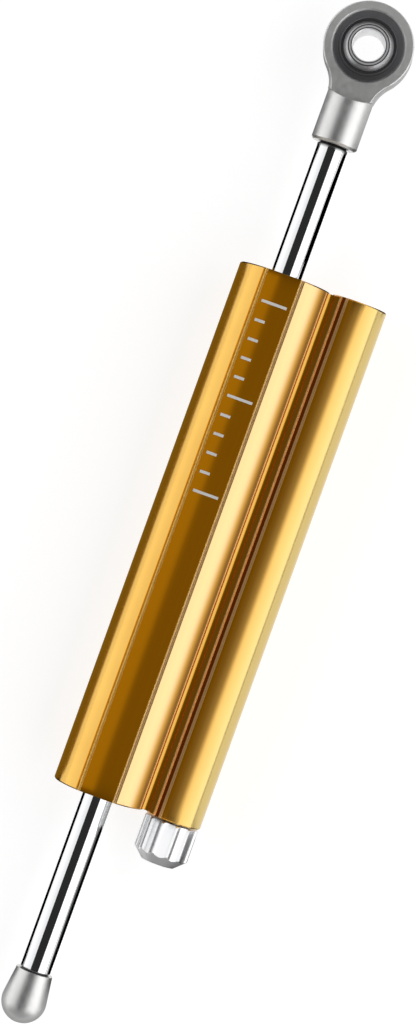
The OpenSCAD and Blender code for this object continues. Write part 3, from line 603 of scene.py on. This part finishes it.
# On the floor, painted shade that only the metal sees: dark strips beside the rod, and grey ones beside
# the eye, beyond the cap and by the knob; they lap under the cap and the rod end, and gaps keep some of
# them clear of the body's ends
STRIP_Z = floor_z + 0.1 * MM
CAP_LAP = 5.0 * MM
EYE_LAP = 3.0 * MM
EYE_OVERRUN = 20.0 * MM
CAP_STRIP_LENGTH = 60.0 * MM
UPPER_GAP = 1.5 * MM
FAR_GAP = 10.0 * MM
LOWER_GAP = 10.0 * MM
KNOB_GAP = 4.0 * MM
LEFT_STRIP = [(11.0, 0.0), (48.0, 0.0)]
LOWER_RIGHT_STRIP = [(-180.0, 0.1), (-40.0, 0.1), (-34.0, 0.0), (-8.5, 0.0)]
UPPER_RIGHT_STRIP = [(-60.0, 0.0), (-8.5, 0.0)]
FAR_STRIP = [(-180.0, 0.0), (-60.0, 0.0)]
EYE_LEFT_STRIP = [(8.5, 0.2), (90.0, 0.2)]
EYE_RIGHT_STRIP = [(-90.0, 0.5), (-8.5, 0.5)]
CAP_STRIP = [(-90.0, 0.38), (90.0, 0.38)]
KNOB_STRIP = [(-60.0, 0.2), (-30.0, 0.2)]
INNER_STRIP = [(-24.0, 0.3), (-8.5, 0.3)]
cap_x = cap_high.x - CAP_LAP
eye_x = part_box("rod_end")[0].x + EYE_LAP
eye_span = (eye_x, cad_box[1][0] + EYE_OVERRUN)
lower_x = body_low.x - LOWER_GAP
knob_x = body_low.x - KNOB_GAP
FLOOR_SHADE_STRIPS = [
    ("eye_left_strip", eye_span, EYE_LEFT_STRIP),
    ("eye_right_strip", eye_span, EYE_RIGHT_STRIP),
    ("lower_left_strip", (cap_x, body_low.x), LEFT_STRIP),
    ("upper_left_strip", (body_high.x, eye_x), LEFT_STRIP),
    ("lower_right_strip", (cap_x, lower_x), LOWER_RIGHT_STRIP),
    ("upper_right_strip", (body_high.x + UPPER_GAP, eye_x), UPPER_RIGHT_STRIP),
    ("upper_far_strip", (body_high.x + FAR_GAP, eye_x), FAR_STRIP),
    ("knob_strip", (lower_x, knob_x), KNOB_STRIP),
    ("inner_strip", (lower_x, body_low.x), INNER_STRIP),
    ("cap_strip", (cap_low.x - CAP_STRIP_LENGTH, cap_x), CAP_STRIP),
]
for strip, span, levels in FLOOR_SHADE_STRIPS:
    level_card(strip, span, STRIP_Z, levels)

# Left of the body, a brown strip just above the others: painted shade for the gold's dark left edge, seen
# only in the metal
BODY_STRIP_Z = floor_z + 0.2 * MM
BODY_STRIP_OVERRUN = (2.5 * MM, 2.5 * MM)
REFLECTED_SHADE_BROWN = (0.21, 0.135, 0.012)
BODY_STRIP = [(12.0, REFLECTED_SHADE_BROWN), (66.0, REFLECTED_SHADE_BROWN)]
level_card("body_strip", reach(body_low.x, body_high.x, BODY_STRIP_OVERRUN), BODY_STRIP_Z, BODY_STRIP)

# Round the knob, a bright card above it and a dark one on edge at each side
KNOB_CARD_Z = 16.0 * MM
KNOB_CARD_OVERRUN = (4.0 * MM, -1.2 * MM)
KNOB_CARD = [(-30.0, 1.15), (-10.0, 1.15)]
KNOB_SIDE_CARD_Y = -60.0 * MM
KNOB_SIDE_CARD_LENGTH = 11.0 * MM
KNOB_SIDE_CARD = [(-12.0, 0.2), (8.0, 0.2)]
KNOB_INNER_CARD_Y = -9.5 * MM
KNOB_INNER_CARD_OVERRUN = (2.0 * MM, 0.0)
KNOB_INNER_CARD = [(3.8, 0.2), (7.5, 0.2)]
side_span = (knob_x - KNOB_SIDE_CARD_LENGTH, knob_x)
inner_span = reach(knob_low.x, knob_high.x, KNOB_INNER_CARD_OVERRUN)
level_card("knob_card", reach(knob_low.x, knob_high.x, KNOB_CARD_OVERRUN), KNOB_CARD_Z, KNOB_CARD)
upright_card("knob_side_card", side_span, KNOB_SIDE_CARD_Y, KNOB_SIDE_CARD, faces_left=True)
upright_card("knob_inner_card", inner_span, KNOB_INNER_CARD_Y, KNOB_INNER_CARD, faces_left=False)

# Beyond the cap, a grey card on edge
END_CARD_DISTANCE = 120.0 * MM
END_CARD_HALF_WIDTH = 150.0 * MM
END_CARD = [(-12.0, 0.3), (120.0, 0.3)]
cross_card("end_card", cap_low.x - END_CARD_DISTANCE, END_CARD_HALF_WIDTH, END_CARD)

# In the valley, a card on edge for each lobe, painting the valley's shade and the bright line in its
# hollow into the lobes' reflections
VALLEY_OVERRUN = (1.5 * MM, 1.5 * MM)
VALLEY_LEFT_Y = -12.3 * MM
VALLEY_LEFT = [
    (3.0, 1.05), (3.38, 1.05), (3.44, 0.3), (4.3, 0.29), (5.1, 0.46), (6.25, 0.8), (7.7, 1.18),
    (8.8, 1.5), (10.6, 1.55)]
VALLEY_RIGHT_Y = -12.4 * MM
VALLEY_RIGHT = [(3.0, 0.14), (9.3, 0.15), (13.9, 0.18), (17.7, 0.22)]
valley_span = reach(body_low.x, body_high.x, VALLEY_OVERRUN)
upright_card("valley_left_card", valley_span, VALLEY_LEFT_Y, VALLEY_LEFT, faces_left=True)
upright_card("valley_right_card", valley_span, VALLEY_RIGHT_Y, VALLEY_RIGHT, faces_left=False)

# Floor, lights and room
half_floor = FLOOR_SIZE / 2
floor = stage_quad("floor", level_corners(-half_floor, half_floor, -half_floor, half_floor, floor_z))
floor.data.materials.append(floor_finish())


def soft_box(name, angle, half_spread, brightness):
    """A long box light parallel to the barrel; angle is from straight up, positive to the right."""
    width = 2 * BOX_DISTANCE * math.tan(math.radians(half_spread))
    light = bpy.data.lights.new(name, "AREA")
    light.shape = "RECTANGLE"
    light.size = BOX_LENGTH
    light.size_y = width
    light.energy = brightness * math.pi * BOX_LENGTH * width
    lamp = bpy.data.objects.new(name, light)
    turn = Matrix.Rotation(math.radians(angle), 4, "X")
    lamp.matrix_world = turn @ Matrix.Translation((0.0, 0.0, BOX_DISTANCE))
    bpy.context.scene.collection.objects.link(lamp)


soft_box("left_box", *LEFT_BOX)
soft_box("right_box", *RIGHT_BOX)


def studio_world():
    """A plain room that is dark above and grey towards the horizon."""
    world = bpy.data.worlds.new("studio")
    world.use_nodes = True
    bpy.context.scene.world = world
    tree = world.node_tree
    add = adder(tree)
    height = add("ShaderNodeMapRange", From_Max=OVERHEAD_SINE)
    height.inputs["To Min"].default_value = HORIZON_LEVEL
    height.inputs["To Max"].default_value = OVERHEAD_LEVEL
    tree.links.new(part_along(tree.links, add, "Z", "Generated"), height.inputs["Value"])
    tree.links.new(height.outputs["Result"], tree.nodes["Background"].inputs["Strength"])
    tree.nodes["Background"].inputs["Color"].default_value = (1.0, 1.0, 1.0, 1.0)


studio_world()
bpy.context.scene.view_settings.view_transform = "Standard"


# Camera
def photo_camera():
    """Looks down on the label flat, with the barrel leaning to the right."""
    data = bpy.data.cameras.new("camera")
    data.sensor_fit = "AUTO"
    data.sensor_width = SENSOR
    data.lens = SENSOR * CAMERA_OFFSET.length / PICTURE_HEIGHT
    data.clip_start = CLIP_START
    camera = bpy.data.objects.new("camera", data)
    bpy.context.scene.collection.objects.link(camera)
    back = CAMERA_OFFSET.normalized()
    up = Vector((math.cos(LEAN), math.sin(LEAN), 0.0))
    right = up.cross(back).normalized()
    up = back.cross(right)
    turn = Matrix((right, up, back)).transposed().to_4x4()
    camera.matrix_world = Matrix.Translation(AIM + CAMERA_OFFSET) @ turn
    bpy.context.scene.camera = camera


photo_camera()
